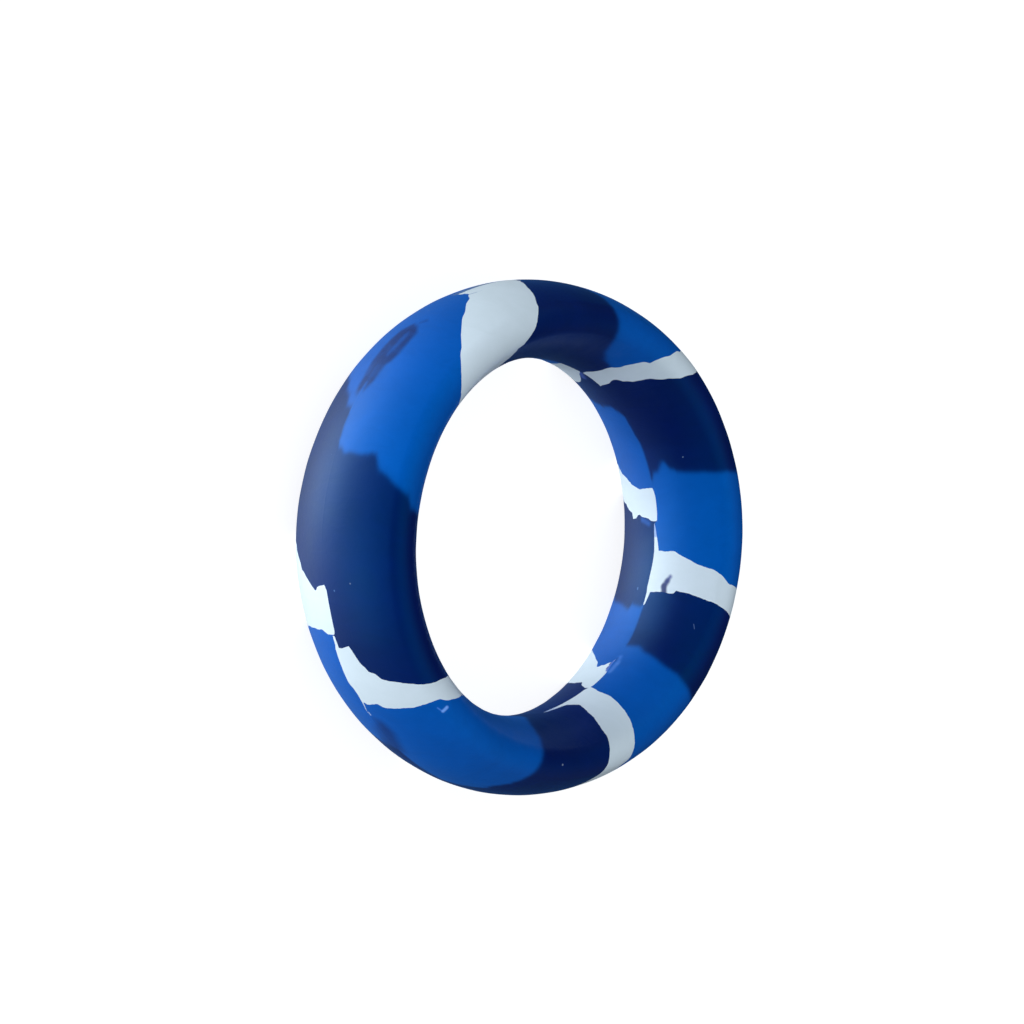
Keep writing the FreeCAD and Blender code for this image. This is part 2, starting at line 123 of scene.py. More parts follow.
LOWER_SEAMS = [
    ("white_blue_k1", 0.65, 1,
     "0,64 0.0375,63.2 0.075,62.5 0.1125,61.8 0.1625,60.8 0.25,59 0.3375,57.3 0.4,56.2 0.425,55.8 "
     "0.55,53 0.5875,51.9 0.6375,50.8 0.75,47.6 0.825,44.5 0.875,42.8 0.8875,41 0.9125,40.7 0.925,41.6 "
     "0.95,41.7 0.9625,42.5 0.9875,43.2 1,44.8"),
    ("blue_navy_k1", 0.613, 1,
     "0,79 0.0375,78.4 0.075,77.8 0.1125,77.1 0.1625,76.3 0.2375,75 0.325,73.6 0.3875,72.7 0.425,72.1 "
     "0.55,70.2 0.5875,69.5 0.6,69.3 0.6125,70.2 0.625,68.8 0.6625,67.8 0.75,67 0.85,65 0.875,64.4 "
     "0.8875,64.4 0.9,66.3 0.95,65.9 0.975,65.6 0.9875,65.6 1,66.8"),
    ("navy_white_k2", 0.613, 1,
     "0,110 0.2125,107.2 0.4125,104.3 0.5,103 0.6,100.5 0.6125,99.6 0.675,99.3 0.6875,98.5 0.7,98.4 "
     "0.7125,97.7 0.7375,97.2 0.7625,97.1 0.775,95 0.8125,95.4 0.8375,96.8 0.8625,96.8 0.875,96 "
     "0.9375,95.9 0.95,95.3 0.975,95 1,95.2"),
    ("white_blue_k2", 0.613, 1,
     "0,121 0.1625,118.8 0.3375,116.4 0.4625,114.6 0.6,111.5 0.625,111.6 0.6375,110.3 0.6625,110.3 "
     "0.675,109.3 0.75,108.5 0.775,107.5 0.7875,107.5 0.8,106.9 0.8875,105.4 0.95,106.3 1,106.5"),
    ("blue_navy_k2", 0.725, 1,
     "0,143 0.075,142.4 0.1625,141.6 0.325,140.3 0.425,139.6 0.575,138.6 0.6625,138 0.7125,137.7 "
     "0.725,138.7 0.7375,137.8 0.75,137.5 0.7625,137.8 0.775,137.5 0.825,138.1 0.8375,136.9 0.85,136.9 "
     "0.8625,137.7 0.875,138.1 0.9375,138.2 0.95,136.7 0.9625,136.2 0.975,136 0.9875,134.4 1,134.3"),
    ("navy_white_k3", 0.825, 1,
     "0,161 0.075,160 0.15,159 0.225,158 0.3,157 0.4125,155.3 0.5125,153.9 0.575,153.4 0.625,153.1 "
     "0.7,149.4 0.775,148.9 0.85,150.6 0.9125,153.6 0.94,155.8 0.9625,157.8 0.9875,159.3 1,160.2"),
    ("white_blue_k3", 0.963, 1,
     "0,173 0.075,172.4 0.15,171.8 0.225,171.1 0.3,170.5 0.4125,169.1 0.575,167.4 0.625,167.1 "
     "0.7,166.5 0.775,166.2 0.85,166 0.9625,168.1 0.975,168.6 1,168.6"),
    ("blue_navy_k4", 0, 0.25,
     "0,242.9 0.0125,241.1 0.0625,240.6 0.0875,238.2 0.1625,235.8 0.1875,233.9 0.25,232.4 0.2625,231.6 "
     "0.3625,228.8 0.425,227.1 0.5625,223.8 0.6,223 0.6625,221.8 0.7375,220.5 0.825,219.3 0.9125,218.2 "
     "1,217"),
    ("navy_white_k4", 0, 0.338,
     "0,279.4 0.03,279.6 0.055,279.9 0.066,280.4 0.0775,281.2 0.09,280.8 0.1375,279.3 0.2,277.3 "
     "0.225,277.2 0.25,275.5 0.325,273 0.3375,271.5 0.35,272 0.3625,271.8 0.4125,270.6 0.575,266.5 "
     "0.625,265.5 0.7,264 0.775,263 0.85,262 0.925,261 1,260"),
    ("white_blue_k4", 0, 0.288,
     "0,290.2 0.0375,290.4 0.0875,289.4 0.1375,289.8 0.1625,289.8 0.2375,290 0.2875,290.2 0.3,290.7 "
     "0.35,291.2 0.4,291 0.4375,290.8 0.55,289.6 0.5875,289 0.675,287.4 0.7625,285.8 0.8375,284.2 "
     "0.9125,282.8 0.95,282 1,281"),
    ("blue_navy_k5", 0, 0.15,
     "0,321.6 0.02,321.4 0.045,320.6 0.07,320.9 0.12,319.8 0.2,319 0.3,318.3 0.3375,317.8 0.4125,316.5 "
     "0.4625,315.7 0.575,312.8 0.625,311.2 0.6875,309.4 0.7625,307.3 0.8375,305.3 0.9125,303.3 "
     "0.95,302.3 1,301"),
    ("navy_white_k5", 9, 9,
     "0,346 0.3,340.5 0.5,336.5 0.7,333 1,328"),
    ("white_blue_k5", 9, 9,
     "0,354.5 0.3,349.5 0.5,345 0.7,341 1,336.5"),
    ("blue_navy_k6", 9, 9,
     "0,376 0.3,371 0.7,362 1,355.5"),
    ("navy_white_k1", 0.725, 1,
     "0,414 0.0375,412.9 0.075,411.8 0.1125,410.6 0.1625,409.1 0.25,406.5 0.35,404 0.4,403 "
     "0.4375,402.2 0.55,399.7 0.5875,398.7 0.6625,396.6 0.725,394.6 0.7625,393.8 0.825,392.9 0.9,392.8 "
     "0.9125,391.2 0.925,390.7 0.975,389.5 1,389.8"),
]

COLOURS = ["blue", "navy", "white"]     # what follows white_blue_*, blue_navy_*, navy_white_*

# Where the two halves meet: height above the mid-plane in mm against angle phi = theta - 90.
PARTING_OUT = [(0, .05), (40, -.05), (90, .08), (120, -.05), (149, .0), (152, -.3), (155.5, -.35), (158, .0), (186, .0), (189.2, .05),
               (189.7, .35), (190.6, .72), (195, .85), (199.3, .8), (200, .55), (200.4, -.1), (202.5, -.15), (203.5, -.45),
               (206, -.6), (209, -.65), (211.8, -.55), (213, .1), (214.5, .42), (217, .4), (219, .1), (222, .0), (240, -.1),
               (250, .05), (300, .1), (330, -.1), (360, .05)]
PARTING_IN = [(-95, .05), (-82, .0), (-80.5, -.15), (-78, -.4), (-74, -.45), (-71, -.6), (-62, -.55), (-60.6, -.3), (-60, .1),
              (-58.5, .38), (-52, .4), (-50, .25), (-48, .0), (-44, .05), (-40, .3), (-38, .5), (-35, .45), (-31, .25), (-27, .05),
              (-24, -.05), (-19, -.25), (-17, -.5), (-13, -.45), (-9, -.3), (-5, -.25), (-2, -.4), (1, -.55), (4, -.55), (4.8, -.1),
              (5.5, .3), (8, .42), (13.5, .4), (15.5, .15), (16.5, -.1), (20, .05), (26, .1), (33, .05), (36, -.4), (42, -.45),
              (45, -.2), (50, .0), (59, .1), (60.5, .45), (65, .5), (69, .4), (71, .1), (90, .0), (150, .1), (200, -.1),
              (240, .05), (265, .05)]
# Films of colour that run along the parting line: seam, end, (distance from the parting line in mm, phi).
FILMS_UPPER = {
    ("navy_white_c", 0): [(0, 200.4), (.45, 200.5), (.62, 201.6), (.72, 203.0)],
    ("white_blue_c", 0): [(0, 220.2), (.1, 219.0), (.25, 217.4)],
    ("navy_white_d", 1): [(0, 278.6), (.25, 279.3), (.5, 281.2), (.7, 284.2), (.85, 287.0)],
    ("navy_white_e", 1): [(0, 336.2), (.3, 336.6), (.55, 338.4), (.75, 340.6)],
    ("white_blue_e", 1): [(0, 364.6), (.25, 363.2), (.5, 360.6), (.75, 358.4), (.95, 356.6)],
}
FILMS_LOWER = {}

STEP = 0.5                               # degrees between columns
COLS = int(round(360 / STEP))


def section(s):
    """(rho, z, normal rho, normal z) at arc length s of the half section; s under 0 or over ARC runs on past an equator."""
    s = np.asarray(s, float)
    low, high = s < 0, s > ARC
    q = np.where(low, -s, np.where(high, 2 * ARC - s, s))
    a1, a2, a3 = q / FLANK_OUT, AO + (q - L1) / CREST_R, AI + (q - L1 - L2) / FLANK_IN
    first, second = q < L1, (q >= L1) & (q < L1 + L2)
    a = np.where(first, a1, np.where(second, a2, a3))
    r = np.where(first, FLANK_OUT, np.where(second, CREST_R, FLANK_IN))
    cx = np.where(first, XO, np.where(second, CREST, XI))
    cz = np.where(second, CZ, 0.0)
    sign = np.where(low | high, -1.0, 1.0)
    return cx + r * np.cos(a), sign * (cz + r * np.sin(a)), np.cos(a), sign * np.sin(a)


def periodic(table, phi):
    xs, zs = np.array([p[0] for p in table], float), np.array([p[1] for p in table], float)
    phi = (np.asarray(phi, float) - xs[0]) % 360 + xs[0]
    return np.interp(phi, np.append(xs, xs[0] + 360), np.append(zs, zs[0]))


def on_columns(table, theta):
    """The table sampled at the columns only, straight between them, so that both halves share one line."""
    x = np.asarray(theta, float) / STEP
    j = np.floor(x)
    a, b = periodic(table, j * STEP - 90), periodic(table, (j + 1) * STEP - 90)
    return a + (b - a) * (x - j)


def waves(seed, n, low, high):
    """n deterministic sine terms: (count round the ring, count over the section, phase, share)."""
    rng = np.random.RandomState(seed)
    return [(rng.randint(low, high + 1), rng.uniform(-3, 3), rng.uniform(0, 2 * math.pi), 1 / math.sqrt(n)) for _ in range(n)]


SWELL = waves(11, 7, 2, 9)
RIPPLE = waves(23, 9, 14, 46)


def relief(theta, s, half):
    """How far the moulded skin stands off the true section, in mm."""
    th = np.radians(theta)
    u = s / ARC
    ends = np.sin(math.pi * np.clip(u, 0, 1))            # terms that differ between halves vanish at the equators
    total = 0.0
    for k, (n, m, p, w) in enumerate(SWELL):
        total = total + .045 * w * np.cos(n * th + p + (m * u * ends * (1 if half > 0 else -1)))
    for k, (n, m, p, w) in enumerate(RIPPLE):
        total = total + .012 * w * np.cos(n * th + p + 2 * m * u * ends * (1 if half > 0 else -1.3))
    d_out, d_in = np.clip(s, 0, None), np.clip(ARC - s, 0, None)
    wander = .6 + .4 * np.cos(5 * th + 1.3) * np.cos(11 * th + .4)
    total = total + .012 * wander * np.exp(-(d_out / .22) ** 2) + .012 * wander * np.exp(-(d_in / .22) ** 2)
    return total


def place(theta, t, half):
    """Row-frame points, in metres, of the skin at angle theta (degrees) and fraction t of the half section."""
    theta, t = np.asarray(theta, float), np.asarray(t, float)
    s = t * ARC
    reach = 3.0
    zo, zi = on_columns(PARTING_OUT, theta), on_columns(PARTING_IN, theta)
    shifted = s + half * zo * np.clip(1 - s / reach, 0, 1) ** 2 - half * zi * np.clip(1 - (ARC - s) / reach, 0, 1) ** 2
    rho, z, nr, nz = section(shifted)
    h = relief(theta, s, half)
    rho, z = rho + h * nr, z + h * nz
    th = np.radians(theta)
    return np.stack([rho * np.cos(th), rho * np.sin(th), HALF + half * z], -1) / 1000.0


def normals(theta, t, half):
    e, f = .02, .0006
    t0, t1 = np.clip(t - f, 0, 1), np.clip(t + f, 0, 1)
    a = place(theta + e, t, half) - place(theta - e, t, half)
    b = place(theta, t1, half) - place(theta, t0, half)
    n = np.cross(a, b) * half
    return n / np.linalg.norm(n, axis=-1, keepdims=True)


# ------------------------------------------------------------------------------------------------ rows over the section
def make_rows():
    near = [0, .1, .2, .32, .46, .62, .82, 1.08, 1.4, 1.8]
    n = int(round((ARC - 3.6) / .43))
    middle = np.linspace(1.8, ARC - 1.8, n + 1)[1:-1]
    s = np.concatenate([near, middle, [ARC - x for x in reversed(near)]])
    t = np.append(s / ARC, WEDGE_END)
    t = np.unique(np.round(t, 7))
    gap = np.diff(t) < .12 / ARC
    for i in np.where(gap)[0]:                            # keep the wedge's own row, not its close neighbour
        if WEDGE_END in (t[i], t[i + 1]) or abs(t[i] - WEDGE_END) < 1e-6 or abs(t[i + 1] - WEDGE_END) < 1e-6:
            t[i if abs(t[i + 1] - WEDGE_END) < 1e-6 else i + 1] = -1
    return t[t >= 0]


WEDGE_END = 0.8125
ROWS = make_rows()
NR = len(ROWS)
WEDGE_ROW = int(np.argmin(abs(ROWS - WEDGE_END)))
COARSE = sorted({0, NR - 1, WEDGE_ROW} | set(range(9, NR - 9, 8)))


def rag(seed, t, amp):
    """Small teeth of a torn colour seam, in mm along the seam's own length, the same each run."""
    rng = np.random.RandomState(seed)
    total = 0
    for wavelength, a in ((6.5, 1.0), (2.7, .55), (1.25, .4), (.95, .22)):
        total = total + a * np.sin(2 * math.pi * t * ARC / wavelength * rng.uniform(.85, 1.15) + rng.uniform(0, 6.28))
    return amp * total / 1.3


def read_seams(table, films, seed0):
    """Angle of every seam at every row, in the order of the table."""
    out = []
    for i, (name, low, high, text) in enumerate(table):
        pts = np.array([[float(x) for x in w.split(",")] for w in text.split()])
        line = np.interp(ROWS, pts[:, 0], pts[:, 1])
        rho = section(ROWS * ARC)[0]
        hidden = np.clip(np.maximum(low - ROWS, ROWS - high) / .06, 0, 1) if low < 9 else np.ones(NR)
        taper = np.clip(np.minimum(ROWS, 1 - ROWS) * ARC / 1.0, .25, 1)
        soft = "blue_navy" in name
        shift = rag(seed0 + i, ROWS, .55 if soft else .42) * hidden + rag(seed0 + 50 + i, ROWS, .05 if soft else .075)
        line = line + np.degrees(shift * taper / rho)
        for end in (0, 1):
            film = films.get((name, end))
            if film:
                d = ROWS * ARC if end == 0 else (1 - ROWS) * ARC
                xs, ph = [p[0] for p in film], np.array([p[1] for p in film]) + 90
                near = d <= xs[-1] + 1e-9
                base = line[np.where(~near)[0][0 if end == 0 else -1]]
                ph = ph + 360 * np.round((base - ph[-1]) / 360)
                line = np.where(near, np.interp(d, xs, ph), line)
        out.append(line)
    return np.array(out)


def build_half(half, table, films, seed0, wedge=None):
    """Meshes of the fifteen slugs of one half: a list of dicts in the table's order."""
    lines = read_seams(table, films, seed0)
    n = len(table)
    if wedge is not None:                                 # seam wedge + 1 runs into seam wedge and ends there
        lines[wedge + 1, WEDGE_ROW:] = lines[wedge, WEDGE_ROW:]
    for i in range(n - 1):                                # seams never cross
        gap = .25 / np.radians(1) / section(ROWS * ARC)[0]
        low = lines[i] + gap
        if wedge is not None and i == wedge:
            fade = np.clip((ROWS[WEDGE_ROW] - ROWS) / .03, 0, 1)
            low = lines[i] + gap * fade
        lines[i + 1] = np.maximum(lines[i + 1], low)
    near = np.round(lines / STEP) * STEP                  # a seam passes a column's corner with room to spare, or on its side
    close = abs(lines - near) < .03
    lines = np.where(close, near + np.where(lines >= near, .03, -.03), lines)
    if wedge is not None:
        lines[wedge + 1, WEDGE_ROW:] = lines[wedge, WEDGE_ROW:]
    lines = np.vstack([lines, lines[0] + 360])

    def alias(label):
        kind, i = label[0], label[1]
        if kind in "scm":
            k = label[2]
            if wedge is not None and i == wedge + 1 and k >= WEDGE_ROW:
                label = (kind, wedge) + label[2:]
            if label[1] == n:
                label = (kind, 0) + ((label[2],) if kind != "c" else (label[2], label[3] - COLS))
        elif kind in "gh":
            label = (kind, label[1] % COLS, label[2])
        return label

    pieces = []
    for i in range(n):
        a, b = lines[i], lines[i + 1]
        where, faces, kinds = {}, [], []                  # label -> (theta, t, on skin)

        def put(label, theta, t, skin=True):
            label = alias(label)
            if label not in where:
                where[label] = (theta, t, skin)
            return label

        def add(poly, kind):
            clean = [p for q, p in enumerate(poly) if p != poly[q - 1]]
            if len(set(clean)) >= 3 and len(set(clean)) == len(clean):
                faces.append(clean)
                kinds.append(kind)

        chains = {0: [[] for _ in range(NR - 1)], 1: [[] for _ in range(NR - 1)]}
        row_cols = [[] for _ in range(NR)]
        for k in range(NR - 1):
            a0, a1, b0, b1 = a[k], a[k + 1], b[k], b[k + 1]
            if b0 - a0 < 1e-9 and b1 - a1 < 1e-9:
                continue
            t0, t1 = ROWS[k], ROWS[k + 1]
            lowest, highest = min(a0, a1), max(b0, b1)
            j0, j1 = int(math.floor(lowest / STEP)), int(math.ceil(highest / STEP))
            corner = [((a0, t0), put(("s", i, k), a0, t0)), ((b0, t0), put(("s", i + 1, k), b0, t0)),
                      ((b1, t1), put(("s", i + 1, k + 1), b1, t1)), ((a1, t1), put(("s", i, k + 1), a1, t1))]
            inner_low, inner_high = max(a0, a1), min(b0, b1)
            for j in range(j0, j1):
                x0, x1 = j * STEP, (j + 1) * STEP
                if x0 >= inner_low and x1 <= inner_high:
                    add([put(("g", j, k), x0, t0), put(("g", j + 1, k), x1, t0),
                         put(("g", j + 1, k + 1), x1, t1), put(("g", j, k + 1), x0, t1)], "skin")
                    continue
                poly = [(p, lab, e) for (p, lab), e in zip(corner, ("r0", "sb", "r1", "sa"))]   # e: the edge that follows
                for side, x, jj in ((1, x0, j), (-1, x1, j + 1)):
                    made = []
                    for q in range(len(poly)):
                        (p, lab, e), (p2, lab2, _) = poly[q], poly[(q + 1) % len(poly)]
                        in1, in2 = (p[0] - x) * side >= 0, (p2[0] - x) * side >= 0
                        if in1:
                            made.append((p, lab, e))
                        if in1 != in2 and e != "v":
                            f = (x - p[0]) / (p2[0] - p[0])
                            tt = p[1] + f * (p2[1] - p[1])
                            if e == "r0":
                                lab3 = put(("g", jj, k), x, t0)
                            elif e == "r1":
                                lab3 = put(("g", jj, k + 1), x, t1)
                            elif e == "sb":
                                lab3 = put(("c", i + 1, k, jj), x, tt)
                            else:
                                lab3 = put(("c", i, k, jj), x, tt)
                            made.append(((x, tt), lab3, "v" if in1 else e))
                    poly = made
                    if not poly:
                        break
                if poly:
                    add([lab for _, lab, _ in poly], "skin")
            for end, (u0, u1, seam) in enumerate(((a0, a1, i), (b0, b1, i + 1))):
                chain = [put(("s", seam, k), u0, t0)]
                cols = range(int(math.floor(min(u0, u1) / STEP)) + 1, int(math.ceil(max(u0, u1) / STEP)))
                for j in (cols if u1 > u0 else reversed(cols)):
                    f = (j * STEP - u0) / (u1 - u0)
                    chain.append(put(("c", seam, k, j), j * STEP, t0 + f * (t1 - t0)))
                chain.append(put(("s", seam, k + 1), u1, t1))
                chains[end][k] = chain
        last = NR - 1 if b[NR - 1] - a[NR - 1] > 1e-9 else WEDGE_ROW
        coarse = [k for k in COARSE if k <= last]

        def middle(seam, k, theta):
            if k in (0, NR - 1):
                return put(("s", seam, k), theta, ROWS[k])
            return put(("m", seam, k), theta, ROWS[k], False)

        # walls between neighbouring slugs, from the skin down to the mid-plane
        for end, seam, line in ((0, i, a), (1, i + 1, b)):
            for c in range(len(coarse) - 1):
                k0, k1 = coarse[c], coarse[c + 1]
                chain = [chains[end][k0][0]]
                for k in range(k0, k1):
                    chain += chains[end][k][1:]
                m0, m1 = middle(seam, k0, line[k0]), middle(seam, k1, line[k1])
                cut = 0 if k0 == 0 else (len(chain) - 1 if k1 == NR - 1 else len(chain) // 2)
                tri = [(chain[q], chain[q + 1], m0) for q in range(cut)]
                tri += [(chain[q], chain[q + 1], m1) for q in range(cut, len(chain) - 1)]
                if m0 != m1:
                    tri.append((chain[cut], m1, m0))
                for p in tri:                             # the low-angle wall faces down-angle, the high one up-angle
                    add(list(p) if end == 0 else list(reversed(p)), "wall")
        # the face on the mid-plane
        for c in range(len(coarse) - 1):
            rows = []
            for k in (coarse[c], coarse[c + 1]):
                lo, hi = a[k], b[k]
                row = [(lo, middle(i, k, lo))]
                if hi - lo > 1e-9:
                    if k in (0, NR - 1):
                        for j in range(int(math.floor(lo / STEP)) + 1, int(math.ceil(hi / STEP))):
                            row.append((j * STEP, put(("g", j, k), j * STEP, ROWS[k])))
                    else:
                        for j in range(int(math.floor((lo + .8) / 4)) + 1, int(math.ceil((hi - .8) / 4))):
                            row.append((j * 4.0, put(("h", int(round(j * 4 / STEP)), k), j * 4.0, ROWS[k], False)))
                    row.append((hi, middle(i + 1, k, hi)))
                rows.append(row)
            p = q = 0
            low, high = rows
            while p < len(low) - 1 or q < len(high) - 1:
                take_low = q == len(high) - 1 or (p < len(low) - 1 and
                    (low[p + 1][0] - low[0][0]) / max(1e-9, low[-1][0] - low[0][0]) <=
                    (high[q + 1][0] - high[0][0]) / max(1e-9, high[-1][0] - high[0][0]))
                if take_low:
                    add([low[p + 1][1], low[p][1], high[q][1]], "floor")
                    p += 1
                else:
                    add([high[q][1], high[q + 1][1], low[p][1]], "floor")
                    q += 1
        pieces.append({"where": where, "faces": faces, "kinds": kinds})
    return lines, pieces


def points_of(piece, half):
    labels = list(piece["where"])
    theta = np.array([piece["where"][x][0] for x in labels])
    t = np.array([piece["where"][x][1] for x in labels])
    skin = np.array([piece["where"][x][2] for x in labels])
    co = place(theta, t, half)
    ends = place(theta, np.zeros_like(t), half), place(theta, np.ones_like(t), half)
    w = t[:, None]
    flat = ends[0] * (1 - w) + ends[1] * w
    fade_out, fade_in = (1 - t) ** 8, t ** 8
    mid = HALF / 1000
    flat[:, 2] = mid + (ends[0][:, 2] - mid) * fade_out + (ends[1][:, 2] - mid) * fade_in
    co[~skin] = flat[~skin]
    return labels, theta, t, skin, co


# ------------------------------------------------------------------------------------------------ marks on the skin
# Closed outlines in (phi, s): a smear's share is 1 inside, 0 outside, with a soft edge.
SMEARS = [
    ([(127.1, 0), (129.4, -2.03), (131.7, -2.47), (134.3, -2.73), (136.5, -2.6), (138.9, -2.66), (141.2, -2.3), (143.4, -1.96),
      (145.6, -1.96), (147.4, -1.59), (148.2, -.8), (146.3, -.15), (145.2, .0), (146.5, .25), (147.2, .6), (146.6, .89), (144.8, 1.77),
      (142.6, 1.96), (140.1, 2.2), (139.2, 2.9), (137.1, 3.36), (134.6, 3.43), (132.0, 3.36), (130.3, 3.36), (128.1, 1.84)], .5, 1.0),
    ([(130.0, .9), (131.5, 1.6), (134.5, 1.5), (137.6, .9), (137.2, .35), (134.0, .45), (131.0, .5)], .5, -.52),
    ([(140.5, .15), (143.0, .5), (146.0, .35), (145.8, -.1), (143.0, -.1), (141.0, -.2)], .6, -.25),
    ([(138.6, -1.6), (141.5, -1.2), (143.0, -1.3), (141.0, -1.75)], .45, -.25),
    ([(125.2, 2.2), (126.6, 1.0), (127.2, 1.4), (126.0, 2.9)], .4, .5),
    ([(221.4, .9), (222.0, 2.5), (223.8, 3.2), (225.7, 3.5), (228.8, 2.4), (232.7, 1.1), (231.9, -1.0), (231.6, -2.8), (229.4, -2.6),
      (227.6, -.9), (225.6, -.2), (223.6, .1)], 1.1, .80),
    ([(223.6, .1), (226.0, -.3), (229.4, -1.6), (231.7, -3.0), (229.4, -3.6), (226.3, -2.8), (223.9, -1.5)], .9, .40),
]


def inside_share(px, py, outline, soft):
    """1 well inside a closed outline, 0 well outside, from signed distances in mm."""
    n = len(outline)
    best = np.full(px.shape, 1e9)
    inside = np.zeros(px.shape, bool)
    for q in range(n):
        (x1, y1), (x2, y2) = outline[q - 1], outline[q]
        dx, dy = x2 - x1, y2 - y1
        f = np.clip(((px - x1) * dx + (py - y1) * dy) / max(1e-12, dx * dx + dy * dy), 0, 1)
        best = np.minimum(best, np.hypot(px - x1 - f * dx, py - y1 - f * dy))
        cross = (y1 > py) != (y2 > py)
        with np.errstate(divide="ignore", invalid="ignore"):
            xs = (x2 - x1) * (py - y1) / (y2 - y1 if y2 != y1 else 1e-12) + x1
        inside ^= cross & (px < xs)
    signed = np.where(inside, best, -best)
    return np.clip(.5 + signed / (2 * soft), 0, 1)


def smear_share(theta, t, half):
    """Share of the stray dark film over the skin."""
    phi = (theta - 90) % 360
    s = t * ARC * half                                    # over the outer equator s changes sign between the halves
    total = np.zeros(theta.shape)
    for outline, soft, strength in SMEARS:
        ref = np.mean([p[0] for p in outline])
        scale = math.radians(1) * 50.0
        x = ((phi - ref + 180) % 360 - 180) * scale
        pts = [((p[0] - ref) * scale, p[1]) for p in outline]
        share = inside_share(x, s, pts, soft)
        total = total + strength * share
    return np.clip(total, 0, 1)


# ------------------------------------------------------------------------------------------------ materials
def socket(node, *names):
    for name in names:
        if name in node.inputs:
            return node.inputs[name]
    raise KeyError(names)


class Nodes:
    """A small helper that keeps the node trees readable."""

    def __init__(self, material):
        material.use_nodes = True
        self.tree = material.node_tree
        self.tree.nodes.clear()

    def new(self, kind, **values):
        node = self.tree.nodes.new(kind)
        for key, value in values.items():
            setattr(node, key, value)
        return node

    def link(self, a, b):
        self.tree.links.new(a, b)

    def feed(self, sock, value):
        if isinstance(value, bpy.types.NodeSocket):
            self.link(value, sock)
        else:
            sock.default_value = value

    def math(self, op, a, b=0.0, c=0.0, clamp=False):
        node = self.new("ShaderNodeMath", operation=op, use_clamp=clamp)
        for sock, value in zip(node.inputs, (a, b, c)):
            self.feed(sock, value)
        return node.outputs[0]

    def vec(self, op, a, b=(0, 0, 0)):
        node = self.new("ShaderNodeVectorMath", operation=op)
        self.feed(node.inputs[0], a)
        self.feed(node.inputs[1], b)
        return node

    def noise(self, coord, scale, detail=2.0, rough=.5, distortion=0.0):
        node = self.new("ShaderNodeTexNoise", noise_dimensions="3D")
        self.link(coord, node.inputs["Vector"])
        node.inputs["Scale"].default_value = scale
        node.inputs["Detail"].default_value = detail
        node.inputs["Roughness"].default_value = rough
        node.inputs["Distortion"].default_value = distortion
        return node.outputs["Fac"]

    def span(self, value, a, b, c=0.0, d=1.0, smooth=False):
        node = self.new("ShaderNodeMapRange", clamp=True, interpolation_type="SMOOTHSTEP" if smooth else "LINEAR")
        for name, v in (("Value", value), ("From Min", a), ("From Max", b), ("To Min", c), ("To Max", d)):
            self.feed(node.inputs[name], v)
        return node.outputs["Result"]

    def mix(self, share, a, b):
        node = self.new("ShaderNodeMix", data_type="RGBA")
        self.feed(node.inputs[0], share)
        for sock, value in ((node.inputs[6], a), (node.inputs[7], b)):
            self.feed(sock, value if isinstance(value, bpy.types.NodeSocket) else (*value, 1.0) if len(value) == 3 else value)
        return node.outputs[2]

    def attribute(self, name):
        return self.new("ShaderNodeAttribute", attribute_name=name, attribute_type="GEOMETRY").outputs["Fac"]

    def capsule(self, coord, a, b, radius, soft):
        """1 within radius of the line from a to b, fading over soft, all in metres."""
        a, b = Vector(a), Vector(b)
        d = b - a
        rel = self.vec("SUBTRACT", coord, tuple(a)).outputs[0]
        along = self.math("DIVIDE", self.vec("DOT_PRODUCT", rel, tuple(d)).outputs["Value"], max(1e-12, d.length_squared), clamp=True)
        scale = self.new("ShaderNodeVectorMath", operation="SCALE")
        scale.inputs[0].default_value = tuple(d)
        self.link(along, scale.inputs["Scale"])
        gap = self.vec("DISTANCE", rel, scale.outputs[0]).outputs["Value"]
        return self.span(gap, radius - soft / 2, radius + soft / 2, 1.0, 0.0, smooth=True)


WHITE = (.71, .752, .803)
BLUE = (.0002, .079, .385)
NAVY = (.0001, .0018, .070)
SMEAR = (.003, .015, .120)
PALE = (.42, .52, .80)
GLOSS_TINT = (.0, .40, 1.0)


def on_skin(phi, t, half):
    return tuple(float(v) for v in place(np.array([phi + 90.0]), np.array([t]), half)[0])


